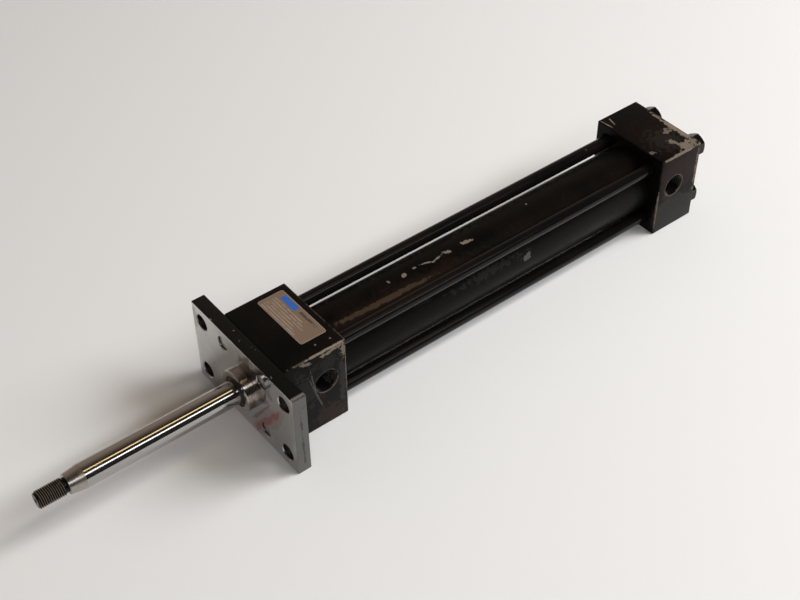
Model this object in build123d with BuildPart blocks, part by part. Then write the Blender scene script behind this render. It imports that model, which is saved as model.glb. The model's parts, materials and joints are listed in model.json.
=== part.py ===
from build123d import *

import os
from math import cos, radians, sqrt

# Double-acting tie-rod hydraulic cylinder with a rectangular head flange, in millimetres.
# Origin: centre of the flange's front mounting face, on the cylinder's axis.
# +X points out along the rod, +Z is up and the ports open towards +Y.
# The rod is drawn part of the way out, where it rests.

# Driving sizes
block_side = 63.5
bore_diameter = 38.1
stroke = 234.95
rod_diameter = 15.875
rod_extension = 104.8
retracted_shoulder_x = 15.875

# Mounting flange, with an ear each side of the head
flange_ear = 22.225
flange_thickness = 9.525
mount_hole_diameter = 11.1
mount_hole_offset = 11.9
mount_spacing_z = 41.4
hole_edge_break = 0.4
flange_edge_break = 0.5

# Head and cap
head_length = 44.45
cap_length = 38.1
block_edge_break = 0.9
spigot_length = 6.0
rod_passage_diameter = 21.0
cap_pocket_diameter = 22.0
cap_pocket_depth = 27.0

# Ports, tapped in the side of the head and the cap
port_diameter = 14.8
port_edge_break = 1.0
port_depth = 14.0
port_height = 5.5
port_setback = 15.0
port_passage_diameter = 6.4

# Tube
tube_wall = 4.76

# Tie rods, close outside the tube, and their nuts
tie_rod_diameter = 9.525
tie_rod_gap = 0.7
tie_rod_recess = 1.2
tie_rod_tail = 1.6
tie_rod_end_chamfer = 0.7
nut_thickness = 9.5
nut_corner_chamfer = 1.0
nut_face_reduction = 0.25

# Gland cartridge, clamped between the flange and the head
pilot_diameter = 28.575
pilot_length = 6.35
pilot_undercut_width = 0.6
pilot_undercut_depth = 0.4
pilot_chamfer = 0.5
gland_shoulder_diameter = 34.9
gland_shoulder_length = 6.4
gland_body_diameter = 29.8
gland_body_length = 14.0
gland_land_gap = 0.36
bearing_wall = 2.06
bearing_length = 14.0
wiper_pocket_width = 2.46
wiper_pocket_depth = 5.0
wiper_stand_out = 0.8
rod_seal_pocket_width = 3.66
rod_seal_groove_width = 6.0
rod_seal_land = 2.2
gland_groove_width = 4.2
gland_groove_depth = 2.4
gland_groove_end_land = 2.2
backup_ring_width = 1.4

# Static tube seals, on the spigots of the head and the cap
tube_seal_groove_width = 3.2
tube_seal_groove_depth = 2.2

# Piston
piston_length = 22.225
piston_seal_width = 4.6
piston_seal_depth = 3.9
wear_ring_width = 6.4
wear_ring_depth = 2.0
stud_diameter = 11.1125
stud_tail = 1.2
lock_nut_across_flats = 17.46
lock_nut_thickness = 8.0
stud_seal_groove_width = 2.4
stud_seal_groove_depth = 1.7
seal_lip_opening = 0.56

# Rod end
taper_length = 10.3
taper_reduction = 1.39
rod_thread_diameter = 11.1125
rod_thread_length = 19.05
thread_relief_length = 1.3
thread_relief_depth = 0.9
rod_thread_chamfer = 1.0

# Nameplate, on top of the head
nameplate_width = 19.0
nameplate_thickness = 0.5
nameplate_corner_radius = 1.6
nameplate_setback = 4.7
nameplate_port_side_margin = 12.2
nameplate_far_side_margin = 4.8

# Clearances, each on the radius or on one side
running_clearance = 0.04
seat_clearance = 0.03
spigot_clearance = 0.03
pilot_clearance = 0.1
bolt_clearance = 0.4
thread_clearance = 0.03
groove_clearance = 0.1
gland_end_clearance = 0.5
piston_end_clearance = 0.35

# Sizes that follow from those above
flange_width = block_side + 2 * flange_ear
mount_spacing_y = block_side + 2 * mount_hole_offset
nut_across_flats = 1.5 * tie_rod_diameter
bearing_outer_diameter = rod_diameter + 2 * bearing_wall
gland_land_bore = rod_diameter + 2 * gland_land_gap
wiper_pocket_diameter = rod_diameter + 2 * wiper_pocket_width
rod_seal_groove_diameter = rod_diameter + 2 * rod_seal_pocket_width
taper_end_diameter = rod_diameter - 2 * taper_reduction
nameplate_length = block_side - nameplate_port_side_margin - nameplate_far_side_margin
nameplate_offset_y = (nameplate_far_side_margin - nameplate_port_side_margin) / 2

# Places along the axis
flange_back_x = -flange_thickness
head_back_x = flange_back_x - head_length
tube_length = stroke + piston_length + 2 * (spigot_length + piston_end_clearance)
cap_front_x = head_back_x - tube_length
cap_back_x = cap_front_x - cap_length
cap_spigot_x = cap_front_x + spigot_length
head_spigot_x = head_back_x - spigot_length
gland_shoulder_x = flange_back_x - gland_shoulder_length
gland_end_x = gland_shoulder_x - gland_body_length
wiper_seat_x = pilot_length - wiper_pocket_depth
bearing_end_x = wiper_seat_x - bearing_length
rod_seal_front_x = bearing_end_x - rod_seal_land
rod_seal_back_x = rod_seal_front_x - rod_seal_groove_width
gland_groove_back_x = gland_end_x + gland_groove_end_land
gland_groove_front_x = gland_groove_back_x + gland_groove_width
shoulder_x = retracted_shoulder_x + rod_extension
piston_back_x = cap_spigot_x + piston_end_clearance + rod_extension
piston_front_x = piston_back_x + piston_length
piston_land = (piston_length - 2 * piston_seal_width - wear_ring_width) / 4

# Radii that several pieces share
half_side = block_side / 2
rod_radius = rod_diameter / 2
bore_radius = bore_diameter / 2
tube_radius = bore_radius + tube_wall
spigot_radius = bore_radius - spigot_clearance
piston_radius = bore_radius - running_clearance
stud_radius = stud_diameter / 2
gland_body_radius = gland_body_diameter / 2
gland_bore_radius = gland_body_radius + seat_clearance
tie_rod_radius = tie_rod_diameter / 2
tie_rod_hole_radius = tie_rod_radius + bolt_clearance
tie_rod_spacing = sqrt(2) * (tube_radius + tie_rod_radius + tie_rod_gap)
rod_seal_radius = rod_radius + running_clearance
piston_seal_root = piston_radius - piston_seal_depth
wear_ring_root = piston_radius - wear_ring_depth

tie_rod_corners = [(y * tie_rod_spacing / 2, z * tie_rod_spacing / 2) for z in (1, -1) for y in (1, -1)]

os.makedirs("parts", exist_ok=True)


def turned(x_from, x_to, inner_radius, outer_radius, mode=Mode.ADD):
    """A plain ring or shaft about the cylinder's axis."""
    with BuildSketch(Plane.XY) as section:
        with Locations(((x_from + x_to) / 2, (inner_radius + outer_radius) / 2)):
            Rectangle(abs(x_to - x_from), outer_radius - inner_radius)
    revolve(section.sketch, axis=Axis.X, mode=mode)


def turned_outline(points, mode=Mode.ADD):
    """A solid of revolution from (x, radius) corners."""
    with BuildSketch(Plane.XY) as section:
        with BuildLine():
            Polyline(*points, close=True)
        make_face()
    revolve(section.sketch, axis=Axis.X, mode=mode)


def square_block(x_back, length):
    """The body of a head or a cap, with its long edges broken."""
    with BuildSketch(Plane.YZ.offset(x_back)) as section:
        Rectangle(block_side, block_side)
    extrude(section.sketch, amount=length)
    chamfer(edges().filter_by(Axis.X), block_edge_break)


def corner_holes(x_back, length, radius):
    """Four holes for the tie rods."""
    with BuildSketch(Plane.YZ.offset(x_back)) as section:
        with GridLocations(tie_rod_spacing, tie_rod_spacing, 2, 2):
            Circle(radius)
    extrude(section.sketch, amount=length, mode=Mode.SUBTRACT)


def side_port(port_x, reach_radius):
    """A tapped port in the +Y side, with a drilled passage in to the axis bore."""
    mouth = Plane(origin=(port_x, half_side, port_height), x_dir=(1, 0, 0), z_dir=(0, 1, 0))
    with Locations(mouth):
        CounterSinkHole(port_diameter / 2, port_diameter / 2 + port_edge_break, port_depth, 90)
    with Locations(mouth.offset(-port_depth)):
        Hole(port_passage_diameter / 2, half_side - port_depth - reach_radius / 2)


def spigot(x_block, x_end):
    """A spigot that centres the tube, with the groove of its static seal half-way along."""
    turned(x_block, x_end, 0, spigot_radius)
    middle = (x_block + x_end) / 2
    turned(
        middle - tube_seal_groove_width / 2, middle + tube_seal_groove_width / 2,
        spigot_radius - tube_seal_groove_depth, spigot_radius, mode=Mode.SUBTRACT,
    )


def lip_seal(x_lips, x_heel, root_radius, wall_radius):
    """A square ring with a vee cut between its lips, which are on the pressure side."""
    turned(x_lips, x_heel, root_radius, wall_radius)
    middle = (root_radius + wall_radius) / 2
    half_opening = (wall_radius - root_radius) * seal_lip_opening / 2
    vee = [
        (x_lips, middle - half_opening),
        (x_lips, middle + half_opening),
        ((x_lips + x_heel) / 2, middle),
    ]
    turned_outline(vee, mode=Mode.SUBTRACT)


def o_ring(x_middle, root_radius, wall_radius):
    """A round-section ring that fills the height of its groove."""
    section_radius = (wall_radius - root_radius) / 2 - seat_clearance
    with BuildSketch(Plane.XY) as section:
        with Locations((x_middle, (root_radius + wall_radius) / 2)):
            Circle(section_radius)
    revolve(section.sketch, axis=Axis.X)


def hex_nut(x_seat, thickness, across_flats, hole_radius, centre=(0, 0)):
    """A hexagon nut behind the face x_seat, with the corners of its far end turned off."""
    with BuildSketch(Plane.YZ.offset(x_seat)) as section:
        with Locations(centre):
            RegularPolygon(across_flats / 2, 6, major_radius=False)
            Circle(hole_radius, mode=Mode.SUBTRACT)
    extrude(section.sketch, amount=-thickness)
    centre_y, centre_z = centre
    x_end = x_seat - thickness
    corner_radius = across_flats / 2 / cos(radians(30))
    envelope = [
        (x_seat, centre_y),
        (x_seat, centre_y + corner_radius),
        (x_end + nut_corner_chamfer, centre_y + corner_radius),
        (x_end, centre_y + across_flats / 2 - nut_face_reduction),
        (x_end, centre_y),
    ]
    with BuildSketch(Plane.XY.offset(centre_z)) as profile:
        with BuildLine():
            Polyline(*envelope, close=True)
        make_face()
    revolve(profile.sketch, axis=Axis((0, centre_y, centre_z), (1, 0, 0)), mode=Mode.INTERSECT)


# ---- Fixed pieces ----

# Flange plate: four bolt holes, the gland's opening and the four tapped tie-rod holes.
with BuildPart() as mounting_flange:
    with BuildSketch(Plane.YZ.offset(flange_back_x)):
        Rectangle(flange_width, block_side)
    extrude(amount=flange_thickness)
    chamfer(edges(), flange_edge_break)
    turned(flange_back_x, 0, 0, pilot_diameter / 2 + pilot_clearance, mode=Mode.SUBTRACT)
    with Locations(Plane.YZ):
        with GridLocations(mount_spacing_y, mount_spacing_z, 2, 2):
            CounterSinkHole(
                mount_hole_diameter / 2, mount_hole_diameter / 2 + hole_edge_break, flange_thickness, 90
            )
    corner_holes(flange_back_x, flange_thickness, tie_rod_radius + thread_clearance)
mounting_flange.part.label = "mounting_flange"
export_step(mounting_flange.part, "parts/mounting_flange.step")

# Head: carries the gland, the rod-end port and a spigot that centres the tube.
with BuildPart() as head:
    square_block(head_back_x, head_length)
    spigot(head_back_x, head_spigot_x)
    turned(
        gland_shoulder_x, flange_back_x, 0,
        gland_shoulder_diameter / 2 + pilot_clearance, mode=Mode.SUBTRACT,
    )
    turned(gland_end_x - gland_end_clearance, gland_shoulder_x, 0, gland_bore_radius, mode=Mode.SUBTRACT)
    turned(head_spigot_x, gland_end_x, 0, rod_passage_diameter / 2, mode=Mode.SUBTRACT)
    side_port(head_back_x + port_setback, rod_passage_diameter / 2)
    corner_holes(head_back_x, head_length, tie_rod_hole_radius)
head.part.label = "head"
export_step(head.part, "parts/head.step")

# Cap: closes the far end, with its own port, spigot and a pocket for the piston's nut.
with BuildPart() as cap:
    square_block(cap_back_x, cap_length)
    spigot(cap_front_x, cap_spigot_x)
    turned(cap_spigot_x - cap_pocket_depth, cap_spigot_x, 0, cap_pocket_diameter / 2, mode=Mode.SUBTRACT)
    side_port(cap_front_x - port_setback, cap_pocket_diameter / 2)
    corner_holes(cap_back_x, cap_length, tie_rod_hole_radius)
cap.part.label = "cap"
export_step(cap.part, "parts/cap.step")

# Tube, seated on the spigots between the head and the cap.
with BuildPart() as cylinder_tube:
    turned(cap_front_x, head_back_x, bore_radius, tube_radius)
cylinder_tube.part.label = "cylinder_tube"
export_step(cylinder_tube.part, "parts/cylinder_tube.step")

# Static seals between the tube and the two spigots.
tube_seal_root = spigot_radius - tube_seal_groove_depth
with BuildPart() as head_tube_seal:
    o_ring(head_back_x - spigot_length / 2, tube_seal_root, bore_radius)
head_tube_seal.part.label = "head_tube_seal"
export_step(head_tube_seal.part, "parts/head_tube_seal.step")

with BuildPart() as cap_tube_seal:
    o_ring(cap_front_x + spigot_length / 2, tube_seal_root, bore_radius)
cap_tube_seal.part.label = "cap_tube_seal"
export_step(cap_tube_seal.part, "parts/cap_tube_seal.step")

# Tie rods: screwed into the flange just below its face, and drawn up by a nut behind the cap.
tie_rod_back_x = cap_back_x - nut_thickness - tie_rod_tail
tie_rod_length = -tie_rod_recess - tie_rod_back_x
for number, corner in enumerate(tie_rod_corners, start=1):
    with BuildPart() as tie_rod:
        with BuildSketch(Plane.YZ.offset(tie_rod_back_x)):
            with Locations(corner):
                Circle(tie_rod_radius)
        extrude(amount=tie_rod_length)
        chamfer(edges().filter_by(GeomType.CIRCLE), tie_rod_end_chamfer)
    tie_rod.part.label = f"tie_rod_{number}"
    export_step(tie_rod.part, f"parts/tie_rod_{number}.step")

    with BuildPart() as tie_rod_nut:
        hex_nut(cap_back_x, nut_thickness, nut_across_flats, tie_rod_radius + thread_clearance, corner)
    tie_rod_nut.part.label = f"tie_rod_nut_{number}"
    export_step(tie_rod_nut.part, f"parts/tie_rod_nut_{number}.step")

# Gland cartridge: pilot outside, an undercut where the pilot leaves the flange, a shoulder that the
# flange clamps, and the seal grooves.
with BuildPart() as gland:
    turned(flange_back_x, pilot_undercut_width, 0, pilot_diameter / 2 - pilot_undercut_depth)
    turned(pilot_undercut_width, pilot_length, 0, pilot_diameter / 2)
    chamfer(edges().filter_by(GeomType.CIRCLE).group_by(Axis.X)[-1], pilot_chamfer)
    turned(gland_shoulder_x, flange_back_x, 0, gland_shoulder_diameter / 2)
    turned(gland_end_x, gland_shoulder_x, 0, gland_body_radius)
    turned(gland_end_x, pilot_length, 0, gland_land_bore / 2, mode=Mode.SUBTRACT)
    turned(wiper_seat_x, pilot_length, 0, wiper_pocket_diameter / 2, mode=Mode.SUBTRACT)
    turned(bearing_end_x, wiper_seat_x, 0, bearing_outer_diameter / 2, mode=Mode.SUBTRACT)
    turned(rod_seal_back_x, rod_seal_front_x, 0, rod_seal_groove_diameter / 2, mode=Mode.SUBTRACT)
    turned(
        gland_groove_back_x, gland_groove_front_x,
        gland_body_radius - gland_groove_depth, gland_body_radius, mode=Mode.SUBTRACT,
    )
gland.part.label = "gland"
export_step(gland.part, "parts/gland.step")

# Bronze bearing sleeve that guides the rod.
with BuildPart() as rod_bearing:
    turned(
        bearing_end_x, wiper_seat_x,
        rod_radius + running_clearance, bearing_outer_diameter / 2 - seat_clearance,
    )
rod_bearing.part.label = "rod_bearing"
export_step(rod_bearing.part, "parts/rod_bearing.step")

# Rod seal: its lips face the pressure side, towards the cap.
with BuildPart() as rod_seal:
    lip_seal(
        rod_seal_back_x + groove_clearance, rod_seal_front_x - groove_clearance,
        rod_seal_radius, rod_seal_groove_diameter / 2 - seat_clearance,
    )
rod_seal.part.label = "rod_seal"
export_step(rod_seal.part, "parts/rod_seal.step")

# Wiper: a ring in the gland's mouth with a lip that leans out along the rod.
wiper_outer_radius = wiper_pocket_diameter / 2 - seat_clearance
wiper_lip_x = pilot_length + wiper_stand_out
with BuildPart() as rod_wiper:
    turned_outline(
        [
            (wiper_seat_x, rod_seal_radius),
            (wiper_seat_x, wiper_outer_radius),
            (pilot_length - wiper_stand_out, wiper_outer_radius),
            (pilot_length - wiper_stand_out, wiper_outer_radius - wiper_stand_out),
            (wiper_lip_x, rod_seal_radius + wiper_stand_out),
            (wiper_lip_x, rod_seal_radius),
        ]
    )
rod_wiper.part.label = "rod_wiper"
export_step(rod_wiper.part, "parts/rod_wiper.step")

# Gland's static seal and the ring behind it that stops it being squeezed out.
gland_groove_root = gland_body_radius - gland_groove_depth
with BuildPart() as gland_o_ring:
    o_ring(
        (gland_groove_back_x + gland_groove_front_x - backup_ring_width) / 2,
        gland_groove_root, gland_bore_radius,
    )
gland_o_ring.part.label = "gland_o_ring"
export_step(gland_o_ring.part, "parts/gland_o_ring.step")

with BuildPart() as gland_backup_ring:
    turned(
        gland_groove_front_x - backup_ring_width, gland_groove_front_x,
        gland_groove_root + seat_clearance, gland_bore_radius - seat_clearance,
    )
gland_backup_ring.part.label = "gland_backup_ring"
export_step(gland_backup_ring.part, "parts/gland_backup_ring.step")

# Nameplate, bonded to the top of the head.
with BuildPart() as nameplate:
    with BuildSketch(Plane.XY.offset(half_side)):
        with Locations((head_back_x + nameplate_setback + nameplate_width / 2, nameplate_offset_y)):
            RectangleRounded(nameplate_width, nameplate_length, nameplate_corner_radius)
    extrude(amount=nameplate_thickness)
nameplate.part.label = "nameplate"
export_step(nameplate.part, "parts/nameplate.step")

# ---- Sliding pieces ----

# Rod: a stud through the piston, the ground shaft, the tapered shoulder and the threaded end.
rod_end_x = shoulder_x + rod_thread_length
thread_radius = rod_thread_diameter / 2
relief_radius = thread_radius - thread_relief_depth
with BuildPart() as piston_rod:
    turned_outline(
        [
            (piston_back_x - lock_nut_thickness - stud_tail, 0),
            (piston_back_x - lock_nut_thickness - stud_tail, stud_radius),
            (piston_front_x, stud_radius),
            (piston_front_x, rod_radius),
            (shoulder_x - taper_length, rod_radius),
            (shoulder_x, taper_end_diameter / 2),
            (shoulder_x, relief_radius),
            (shoulder_x + thread_relief_length, relief_radius),
            (shoulder_x + thread_relief_length + thread_relief_depth, thread_radius),
            (rod_end_x - rod_thread_chamfer, thread_radius),
            (rod_end_x, thread_radius - rod_thread_chamfer),
            (rod_end_x, 0),
        ]
    )
piston_rod.part.label = "piston_rod"
export_step(piston_rod.part, "parts/piston_rod.step")

# Piston: two seal grooves, a wear-ring groove between them and a small groove in its bore.
front_seal_x = piston_front_x - piston_land
rear_seal_x = piston_back_x + piston_land
wear_ring_x = rear_seal_x + piston_seal_width + piston_land
stud_seal_x = (piston_back_x + piston_front_x) / 2
stud_seal_half = stud_seal_groove_width / 2
with BuildPart() as piston:
    turned(piston_back_x, piston_front_x, stud_radius + seat_clearance, piston_radius)
    turned(
        front_seal_x - piston_seal_width, front_seal_x, piston_seal_root, piston_radius,
        mode=Mode.SUBTRACT,
    )
    turned(
        rear_seal_x, rear_seal_x + piston_seal_width, piston_seal_root, piston_radius,
        mode=Mode.SUBTRACT,
    )
    turned(wear_ring_x, wear_ring_x + wear_ring_width, wear_ring_root, piston_radius, mode=Mode.SUBTRACT)
    turned(
        stud_seal_x - stud_seal_half, stud_seal_x + stud_seal_half,
        stud_radius, stud_radius + stud_seal_groove_depth, mode=Mode.SUBTRACT,
    )
piston.part.label = "piston"
export_step(piston.part, "parts/piston.step")

# Static seal between the piston and the rod's stud.
with BuildPart() as piston_stud_seal:
    o_ring(stud_seal_x, stud_radius, stud_radius + stud_seal_groove_depth)
piston_stud_seal.part.label = "piston_stud_seal"
export_step(piston_stud_seal.part, "parts/piston_stud_seal.step")

# Nut that holds the piston on the stud.
with BuildPart() as piston_lock_nut:
    hex_nut(piston_back_x, lock_nut_thickness, lock_nut_across_flats, stud_radius + thread_clearance)
piston_lock_nut.part.label = "piston_lock_nut"
export_step(piston_lock_nut.part, "parts/piston_lock_nut.step")

# Piston seals, lips outwards, and the wear ring: they slide in the bore and needn't turn with the rod.
seal_wall_radius = bore_radius - running_clearance
with BuildPart() as piston_seal_front:
    lip_seal(
        front_seal_x - groove_clearance, front_seal_x - piston_seal_width + groove_clearance,
        piston_seal_root + running_clearance, seal_wall_radius,
    )
piston_seal_front.part.label = "piston_seal_front"
export_step(piston_seal_front.part, "parts/piston_seal_front.step")

with BuildPart() as piston_seal_rear:
    lip_seal(
        rear_seal_x + groove_clearance, rear_seal_x + piston_seal_width - groove_clearance,
        piston_seal_root + running_clearance, seal_wall_radius,
    )
piston_seal_rear.part.label = "piston_seal_rear"
export_step(piston_seal_rear.part, "parts/piston_seal_rear.step")

with BuildPart() as piston_wear_ring:
    turned(
        wear_ring_x + groove_clearance, wear_ring_x + wear_ring_width - groove_clearance,
        wear_ring_root + running_clearance, seal_wall_radius,
    )
piston_wear_ring.part.label = "piston_wear_ring"
export_step(piston_wear_ring.part, "parts/piston_wear_ring.step")
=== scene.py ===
import json
from math import cos, hypot, pi, radians, tau

import bmesh
import bpy
from bpy.props import FloatProperty, FloatVectorProperty, PointerProperty
from bpy.types import Operator
from mathutils import Matrix, Vector


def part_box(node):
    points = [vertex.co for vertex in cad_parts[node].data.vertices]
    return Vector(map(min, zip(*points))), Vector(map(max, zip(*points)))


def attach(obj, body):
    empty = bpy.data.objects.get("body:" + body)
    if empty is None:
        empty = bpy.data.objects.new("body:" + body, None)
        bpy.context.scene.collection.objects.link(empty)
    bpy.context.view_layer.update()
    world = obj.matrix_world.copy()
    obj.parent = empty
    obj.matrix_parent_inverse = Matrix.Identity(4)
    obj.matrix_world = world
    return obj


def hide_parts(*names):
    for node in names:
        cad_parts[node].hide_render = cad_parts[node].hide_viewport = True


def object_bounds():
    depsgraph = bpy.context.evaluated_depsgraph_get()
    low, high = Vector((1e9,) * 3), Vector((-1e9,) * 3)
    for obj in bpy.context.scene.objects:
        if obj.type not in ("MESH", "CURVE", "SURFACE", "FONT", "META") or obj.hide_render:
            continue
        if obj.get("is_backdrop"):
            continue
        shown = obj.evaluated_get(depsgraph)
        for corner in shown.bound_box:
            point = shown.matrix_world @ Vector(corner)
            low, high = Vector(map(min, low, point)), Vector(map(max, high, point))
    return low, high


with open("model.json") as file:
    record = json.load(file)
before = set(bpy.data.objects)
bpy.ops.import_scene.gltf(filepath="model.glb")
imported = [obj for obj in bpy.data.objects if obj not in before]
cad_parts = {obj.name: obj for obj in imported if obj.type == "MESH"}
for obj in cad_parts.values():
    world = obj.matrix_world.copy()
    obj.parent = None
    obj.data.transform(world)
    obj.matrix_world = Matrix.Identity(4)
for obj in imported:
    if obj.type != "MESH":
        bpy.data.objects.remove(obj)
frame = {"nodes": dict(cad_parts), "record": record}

bl_info = {
    "name": "Tie-rod hydraulic cylinder",
    "version": (1, 0, 0),
    "blender": (4, 5, 0),
    "location": "3D View > Sidebar > Cylinder",
    "description": "Builds the visible pieces, finishes and stage of a tie-rod hydraulic cylinder",
    "category": "Object",
}

MM = 0.001
BARREL, ROD = "barrel", "rod"
TIE_RODS = (1, 2, 3, 4)
MARGIN = 1.0 * MM  # how far a cutter runs past what it cuts
THREAD_HEIGHT = 0.61  # height of a screw thread as a share of its pitch
THREAD_FLAT = 0.07  # half the width of its crest, as a share of its pitch
MOUNTS = {mount["name"]: mount for mount in frame["record"]["mounts"]}
BOLTS = MOUNTS["flange_bolts"]["dims"]
PORT_RADIUS = MOUNTS["rod_end_port"]["dims"]["r_mm"] * MM
PILOT_RADIUS = MOUNTS["gland_pilot"]["dims"]["r_mm"] * MM

# Sizes that follow from the seals, the bearing and the threads. A seat, body or pocket is a radius, a break
# is a chamfer, and a play is the gap all round.
SPIGOT_PLAY = 0.03 * MM  # in the tube's bore
SPIGOT_GROOVE_WIDTH, SPIGOT_GROOVE_DEPTH = 3.2 * MM, 2.2 * MM
GLAND_STEP = 14 * MM  # from the gland's inner end to its shoulder
GLAND_BODY, GLAND_SHOULDER, GLAND_BREAK = 14.9 * MM, 17.45 * MM, 0.5 * MM
ROD_PLAY = 0.36 * MM  # between the rod and the gland's plain bores
ROD_PASSAGE = 10.5 * MM  # radius of the head's bore behind the gland
WIPER_SEAT, WIPER_DEPTH = 10.4 * MM, 5 * MM  # depths from the gland's face
BEARING_SEAT, BEARING_DEPTH = 10 * MM, 19 * MM
SEAL_SEAT, SEAL_FROM, SEAL_TO = 11.6 * MM, 2.2 * MM, 8.2 * MM  # behind the bearing
RING_FLOOR, RING_FROM, RING_TO = 12.5 * MM, 2.2 * MM, 6.4 * MM  # from the gland's inner end
CAP_POCKET, CAP_POCKET_DEPTH = 11 * MM, 27 * MM  # room for the piston's nut
PORT_BREAK, PORT_CONE = 0.5 * MM, 1.2 * MM
PASSAGE_FROM = 6 * MM  # where a port's passage begins, from the axis
TIE_ROD_THREAD, TIE_ROD_POINT, TIE_ROD_BREAK = 15 * MM, 0.5 * MM, 0.25 * MM
NUT_INSET, NUT_SLOPE = 0.25 * MM, 0.55  # the chamfer on a nut's faces
ROD_THREAD_LENGTH, ROD_POINT = 19.05 * MM, 1.0 * MM
CENTRE_HOLE, CENTRE_DEPTH = 1.7 * MM, 1.5 * MM  # in the rod's end face
TAPER_LENGTH, TAPER_END = 10.3 * MM, 6.55 * MM  # the turned taper behind the thread
NECK_LENGTH, NECK_DEPTH = 1.3 * MM, 0.9 * MM  # the relief between taper and thread


# ---- Sizes and colours ----

def linear(code):
    """An sRGB hex colour as the linear values that Blender's sockets hold."""
    channels = [int(code[i:i + 2], 16) / 255 for i in (1, 3, 5)]
    return (*(c / 12.92 if c <= 0.04045 else ((c + 0.055) / 1.055) ** 2.4 for c in channels), 1.0)


def length_of(name, description, default):
    """A size in metres that a user can change."""
    return FloatProperty(name=name, description=description, default=default, unit="LENGTH", precision=5)


def colour_of(name, description, code):
    """A colour that a user can change."""
    return FloatVectorProperty(
        name=name, description=description, default=linear(code), size=4, subtype="COLOR", min=0.0, max=1.0
    )


TUBE_LOW, TUBE_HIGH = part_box("cylinder_tube")
HEAD_LOW, HEAD_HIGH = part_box("head")
CAP_LOW, CAP_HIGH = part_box("cap")
FLANGE_LOW, FLANGE_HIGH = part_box("mounting_flange")
GLAND_LOW, GLAND_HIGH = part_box("gland")
ROD_LOW, ROD_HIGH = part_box("piston_rod")
PLATE_LOW, PLATE_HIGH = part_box("nameplate")
PISTON_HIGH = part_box("piston")[1]


class CylinderSizes(bpy.types.PropertyGroup):
    """Sizes that the visible pieces are made from."""

    block_rounding: length_of("Block rounding", "Radius on the edges of the head and the cap", 0.9 * MM)
    flange_rounding: length_of("Flange rounding", "Radius on the edges of the flange", 0.6 * MM)
    bore: length_of("Bore", "Inside diameter of the tube", 38.1 * MM)
    port: length_of("Port", "Diameter of a port at its thread's crest", 2 * PORT_RADIUS)
    port_thread_depth: length_of("Port thread depth", "Height of the port's thread", 0.7 * MM)
    port_pitch: length_of("Port pitch", "Pitch of the port's pipe thread", 1.411 * MM)
    port_depth: length_of("Port depth", "Depth of a port from the block's side", 14.0 * MM)
    passage: length_of("Passage", "Diameter of the oil passage behind a port", 6.4 * MM)
    tie_rod_hole: length_of("Tie-rod hole", "Diameter of the tie-rod holes in the blocks", 10.325 * MM)
    bolt_hole: length_of("Bolt hole", "Diameter of the flange's bolt holes", 2 * BOLTS["hole_r_mm"] * MM)
    bolt_spacing_y: length_of("Bolt spacing Y", "Hole spacing across the flange", BOLTS["spacing_x_mm"] * MM)
    bolt_spacing_z: length_of("Bolt spacing Z", "Hole spacing up the flange", BOLTS["spacing_y_mm"] * MM)
    hole_break: length_of("Hole edge break", "Chamfer on the flange's holes", 0.5 * MM)
    pilot: length_of("Pilot", "Diameter of the gland's pilot", 2 * PILOT_RADIUS)
    rod: length_of("Rod", "Diameter of the chromed rod", 2 * ROD_HIGH.z)
    rod_thread: length_of("Rod thread", "Crest diameter of the rod-end thread", 11.1125 * MM)
    rod_pitch: length_of("Rod thread pitch", "Pitch of the rod-end thread", 1.27 * MM)
    tie_rod_shank: length_of("Tie-rod shank", "Diameter of a tie rod between its rolled threads", 8.76 * MM)
    tie_rod_pitch: length_of("Tie-rod pitch", "Pitch of the tie-rod thread", 1.058 * MM)
    plate_corner: length_of("Nameplate corner", "Corner radius of the nameplate", 1.6 * MM)


class CylinderColours(bpy.types.PropertyGroup):
    """Colours of the finishes."""

    paint: colour_of("Paint", "Black enamel on the blocks and the tube", "#090908")
    bare: colour_of("Bare steel", "Steel where the paint has gone", "#807468")
    # Besides real rubbed paint, this colour paints a highlight band along the tube's far side and shade on
    # the flange's near end face.
    rubbed: colour_of("Rubbed paint", "Dull grey where the paint is rubbed thin", "#4e4c49")
    # This colour paints a brown reflection streak along the tube's upper near side; it is not dried oil.
    film: colour_of("Oil film", "Light brown streak of dried oil", "#4a3c2e")
    # Besides real oil grime, this colour paints shade in the flange's holes, and dark reflection and shade on
    # its face.
    grime: colour_of("Grime", "Brown film of old oil", "#2a1b16")
    flange: colour_of("Ground steel", "Ground face of the flange", "#c0c0be")
    stain: colour_of("Stain", "Brown stain on bare steel", "#5a4b42")
    # This colour paints red reflection streaks across the flange's face, not a dye.
    red_stain: colour_of("Red stain", "Dried red assembly dye on the flange", "#a64a4a")
    chrome: colour_of("Chrome", "Hard chrome on the rod", "#aeacab")
    turned: colour_of("Turned steel", "Lathe-turned gland and rod shoulder", "#aca69f")
    oxide: colour_of("Black oxide", "Oxide on the threads and the nuts", "#0d0c0c")
    plate: colour_of("Nameplate", "Satin aluminium foil plate", "#9a8675")
    plate_rule: colour_of("Nameplate bar", "Dark blank bar on the nameplate", "#2e2a2c")
    plate_line: colour_of("Nameplate lines", "Pale ruled lines on the nameplate", "#c9b8aa")
    plate_band: colour_of("Nameplate panel", "Plain panel on the nameplate", "#2f62b4")
    rubber: colour_of("Rubber", "Nitrile rubber rings", "#0a0908")
    urethane: colour_of("Polyurethane", "Polyurethane lip seals", "#2a3a58")
    bronze: colour_of("Bronze", "Bearing bronze", "#a5763f")
    ptfe: colour_of("PTFE", "Back-up ring", "#e2e1dc")
    nylon: colour_of("Nylon", "Filled nylon wear ring", "#3a342e")
    iron: colour_of("Iron", "Machined ductile iron piston", "#6c6c6e")
    floor: colour_of("Floor", "Pale studio floor", "#f0f1f2")


# ---- Shaping ----

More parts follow.
